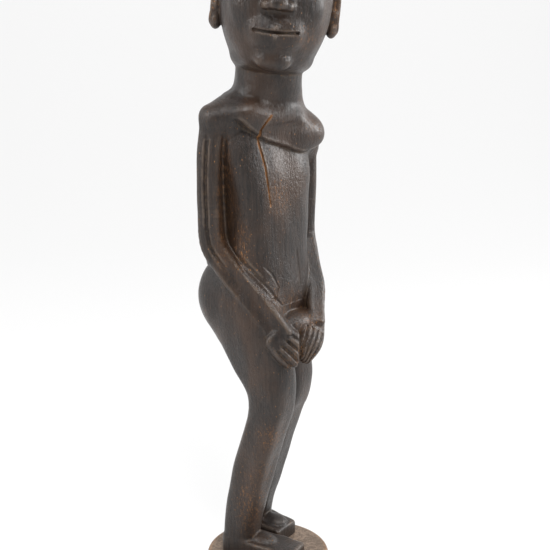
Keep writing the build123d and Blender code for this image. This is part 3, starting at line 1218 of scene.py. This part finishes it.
def paper():
    """The studio's plain pale backdrop."""
    return Finish("paper").coat(
        {
            "Base Color": (0.22, 0.22, 0.22, 1.0),
            "Roughness": 0.85,
            "Specular IOR Level": 0.1,
            "Emission Color": WHITE,
            "Emission Strength": 0.75,
        }
    )


# ---------------------------------------------------------------- settings


def colour_setting(name, description, default):
    """A colour that can be changed in the panel."""
    return FloatVectorProperty(
        name=name,
        description=description,
        default=default,
        size=3,
        min=0.0,
        max=1.0,
        subtype="COLOR",
    )


def size_setting(name, description, default, low=0.0):
    """A length that can be changed in the panel."""
    return FloatProperty(
        name=name,
        description=description,
        default=default,
        min=low,
        subtype="DISTANCE",
        unit="LENGTH",
    )


def angle_setting(name, description, degrees):
    """An angle that can be changed in the panel."""
    return FloatProperty(
        name=name,
        description=description,
        default=radians(degrees),
        subtype="ANGLE",
        unit="ROTATION",
    )


class CarvingSettings(bpy.types.PropertyGroup):
    """Sizes and colours of the carving."""

    step: size_setting(
        "Skin Step",
        "Distance between the points of the carved skin",
        (0.8) * MM,
        low=0.4 * MM,
    )
    knife_waves: size_setting("Knife Waves", "How deep the knife's unevenness is", 0.15 * MM)
    undercut: size_setting("Yoke Undercut", "How deep the chest is cut under the yoke", 3.4 * MM)
    crack: size_setting("Crack Depth", "How deep the drying crack in the chest is", 1.8 * MM)
    dark_wood: colour_setting("Dark Wood", "The finish's main colour", (0.025, 0.0165, 0.0128))
    # Also the painted shade in the base's hollows
    dark_grain_and_shade: colour_setting("Dark Streak", "The colour of the darker grain", (0.011, 0.0078, 0.0064))
    warm_wood: colour_setting("Warm Wood", "Where the finish has thinned", (0.064, 0.033, 0.018))
    # Worn fibres and rubbed ridges; along the ridges this paler brown is also a painted highlight
    worn_and_sheen_wood: colour_setting("Worn Wood And Sheen", "The colour of worn fibres and rubbed ridges, and of the painted highlight on ridges", (0.095, 0.068, 0.05))
    bare_wood: colour_setting("Bare Wood", "Wood with no finish left", (0.46, 0.21, 0.065))
    bare_dark: colour_setting("Bare Grain", "The grain of the bare wood", (0.25, 0.105, 0.035))
    dust: colour_setting("Dust", "What has settled in the hollows", (0.085, 0.055, 0.03))
    base_wood: colour_setting("Base Wood", "The base's main colour", (0.25, 0.18, 0.13))
    base_grain: colour_setting("Base Grain", "The base's darker grain", (0.12, 0.085, 0.06))


class StudioSettings(bpy.types.PropertyGroup):
    """The camera and the lights around the carving."""

    azimuth: angle_setting("Azimuth", "Which side the camera looks from", -50)
    pitch: angle_setting("Pitch", "How far the camera looks down", 14)
    distance: size_setting("Distance", "How far the camera stands from the figure", 0.7)
    height: size_setting("Height", "How high the camera stands", 0.414)
    daylight: FloatProperty(
        name="Daylight",
        description="Strength of the even light from all round",
        default=0.24,
        min=0.0,
    )
    softbox: FloatProperty(
        name="Softboxes",
        description="Strength of the soft lamps, as a share of their usual power",
        default=1.0,
        min=0.0,
        subtype="FACTOR",
    )


# ---------------------------------------------------------------- operators


def carve_members(*names):
    """Carves some of the figure's members from its field."""
    table = members()
    for name in names:
        settle(carve(name, figure_field, *table[name]), name)


class CarveBase(bpy.types.Operator):
    """Turn the round base"""

    bl_idname = "carving.base"
    bl_label = "Base"

    def execute(self, context):
        box = ((-BASE_RADIUS - 3, -BASE_RADIUS - 3, -3), (BASE_RADIUS + 3, BASE_RADIUS + 3, 29))
        settle(carve("base", base_field, *box, [slab(0, BASE_TOP)], []), "base")
        return {"FINISHED"}


class CarveFeet(bpy.types.Operator):
    """Carve the two wedge-shaped feet"""

    bl_idname = "carving.feet"
    bl_label = "Feet"

    def execute(self, context):
        carve_members("right_foot", "left_foot")
        return {"FINISHED"}


class CarveLegs(bpy.types.Operator):
    """Carve the lower legs and the thighs"""

    bl_idname = "carving.legs"
    bl_label = "Legs"

    def execute(self, context):
        carve_members("right_lower_leg", "left_lower_leg", "right_thigh", "left_thigh")
        return {"FINISHED"}


class CarveTrunk(bpy.types.Operator):
    """Carve the hips, the belly, the chest with its yoke, and the neck"""

    bl_idname = "carving.trunk"
    bl_label = "Trunk"

    def execute(self, context):
        carve_members("hips", "belly", "chest", "neck")
        return {"FINISHED"}


class CarveHead(bpy.types.Operator):
    """Carve the head, its cap of hair and its ears"""

    bl_idname = "carving.head"
    bl_label = "Head"

    def execute(self, context):
        carve_members("head", "hair_cap", "right_ear", "left_ear")
        return {"FINISHED"}


class CarveArms(bpy.types.Operator):
    """Carve the arms and hands that lie against the body"""

    bl_idname = "carving.arms"
    bl_label = "Arms"

    def execute(self, context):
        for side in ARMS:
            carve_members(side + "_upper_arm", side + "_forearm", side + "_hand")
        return {"FINISHED"}


class SetStage(bpy.types.Operator):
    """Set the pale backdrop, the soft lights and the camera"""

    bl_idname = "carving.stage"
    bl_label = "Stage"

    def execute(self, context):
        studio = context.scene.studio
        context.scene.view_settings.view_transform = "Standard"
        backdrop(studio.azimuth)
        camera(studio)
        daylight(studio.daylight)
        for name, spot, size, power in LAMPS:
            lamp(name, spot, size, power * studio.softbox, studio.azimuth)
        return {"FINISHED"}


# The backdrop in metres: floor in front and behind, sweep, wall top and half width
FLOOR_FRONT = 12.0
FLOOR_BACK = -1.0
SWEEP = 0.8
WALL_TOP = 3.5
HALF_WIDTH = 8.0
BENDS = 24
# The camera's lens and sensor in millimetres, its step to the right and what the lamps aim at
LENS = 66.63
SENSOR = 36.0
CAMERA_STEP = 0.0053
LAMP_AIM = (0, 0, 0.28)
# Soft lamps: name, place seen from the camera (right, toward the camera, up), size and power
LAMPS = (
    ("top_window", (0.2, 0.75, 1.5), 0.42, 17),
    ("left_window", (-1.0, 0.35, 0.85), 0.38, 9),
    ("right_window", (1.15, -0.2, 0.6), 0.4, 13),
)


def seen(spot, azimuth):
    """A place given as right of the camera, toward it and up, as the figure's."""
    right, toward, up = spot
    return Vector(
        (
            right * cos(azimuth) + toward * sin(azimuth),
            right * sin(azimuth) - toward * cos(azimuth),
            up,
        )
    )


def backdrop(azimuth):
    """A sheet that lies flat under the figure and sweeps up well behind it."""
    profile = [(FLOOR_FRONT, 0.0)]
    for i in range(BENDS + 1):
        turn = i / BENDS * pi / 2
        profile.append((FLOOR_BACK - SWEEP * sin(turn), SWEEP * (1 - cos(turn))))
    profile.append((FLOOR_BACK - SWEEP, WALL_TOP))
    sheet = bmesh.new()
    rows = [
        [sheet.verts.new(seen((side, toward, up), azimuth)) for side in (-HALF_WIDTH, HALF_WIDTH)]
        for toward, up in profile
    ]
    for near_row, far_row in zip(rows[:-1], rows[1:]):
        sheet.faces.new((near_row[0], near_row[1], far_row[1], far_row[0]))
    mesh = bpy.data.meshes.new("backdrop")
    sheet.to_mesh(mesh)
    sheet.free()
    mesh.shade_smooth()
    mesh.materials.append(paper())
    thing = bpy.data.objects.new("backdrop", mesh)
    bpy.context.scene.collection.objects.link(thing)


def camera(studio):
    """The camera at its place, looking down on the figure."""
    data = bpy.data.cameras.new("camera")
    data.sensor_width = SENSOR
    data.lens = LENS
    thing = bpy.data.objects.new("camera", data)
    thing.location = seen((CAMERA_STEP, studio.distance, studio.height), studio.azimuth)
    thing.rotation_euler = (pi / 2 - studio.pitch, 0, studio.azimuth)
    bpy.context.scene.collection.objects.link(thing)
    bpy.context.scene.camera = thing


def daylight(strength):
    """Even white light from all round."""
    world = bpy.data.worlds.new("daylight")
    world.use_nodes = True
    sky = world.node_tree.nodes["Background"]
    sky.inputs["Color"].default_value = WHITE
    sky.inputs["Strength"].default_value = strength
    bpy.context.scene.world = world


def lamp(name, spot, size, power, azimuth):
    """A soft square lamp turned to the figure's middle."""
    data = bpy.data.lights.new(name, "AREA")
    data.size = size
    data.energy = power
    thing = bpy.data.objects.new(name, data)
    thing.location = seen(spot, azimuth)
    aim = Vector(LAMP_AIM) - thing.location
    thing.rotation_euler = aim.to_track_quat("-Z", "Y").to_euler()
    bpy.context.scene.collection.objects.link(thing)


class CarvingPanel(bpy.types.Panel):
    """The members in the order they are carved, and their settings"""

    bl_idname = "VIEW3D_PT_carving"
    bl_label = "Carved Figure"
    bl_space_type = "VIEW_3D"
    bl_region_type = "UI"
    bl_category = "Carving"

    def draw(self, context):
        column_of_buttons = self.layout.column(align=True)
        for operator in OPERATORS:
            column_of_buttons.operator(operator.bl_idname)
        for settings in (context.scene.carving, context.scene.studio):
            box = self.layout.box()
            for name in type(settings).__annotations__:
                box.prop(settings, name)


OPERATORS = (CarveBase, CarveFeet, CarveLegs, CarveTrunk, CarveHead, CarveArms, SetStage)
CLASSES = (CarvingSettings, StudioSettings, *OPERATORS, CarvingPanel)


def register():
    for each in CLASSES:
        bpy.utils.register_class(each)
    bpy.types.Scene.carving = PointerProperty(type=CarvingSettings)
    bpy.types.Scene.studio = PointerProperty(type=StudioSettings)


def unregister():
    del bpy.types.Scene.studio
    del bpy.types.Scene.carving
    for each in reversed(CLASSES):
        bpy.utils.unregister_class(each)


def main():
    register()
    for operator in OPERATORS:
        group, name = operator.bl_idname.split(".")
        getattr(getattr(bpy.ops, group), name)()


if __name__ == "__main__":
    main()
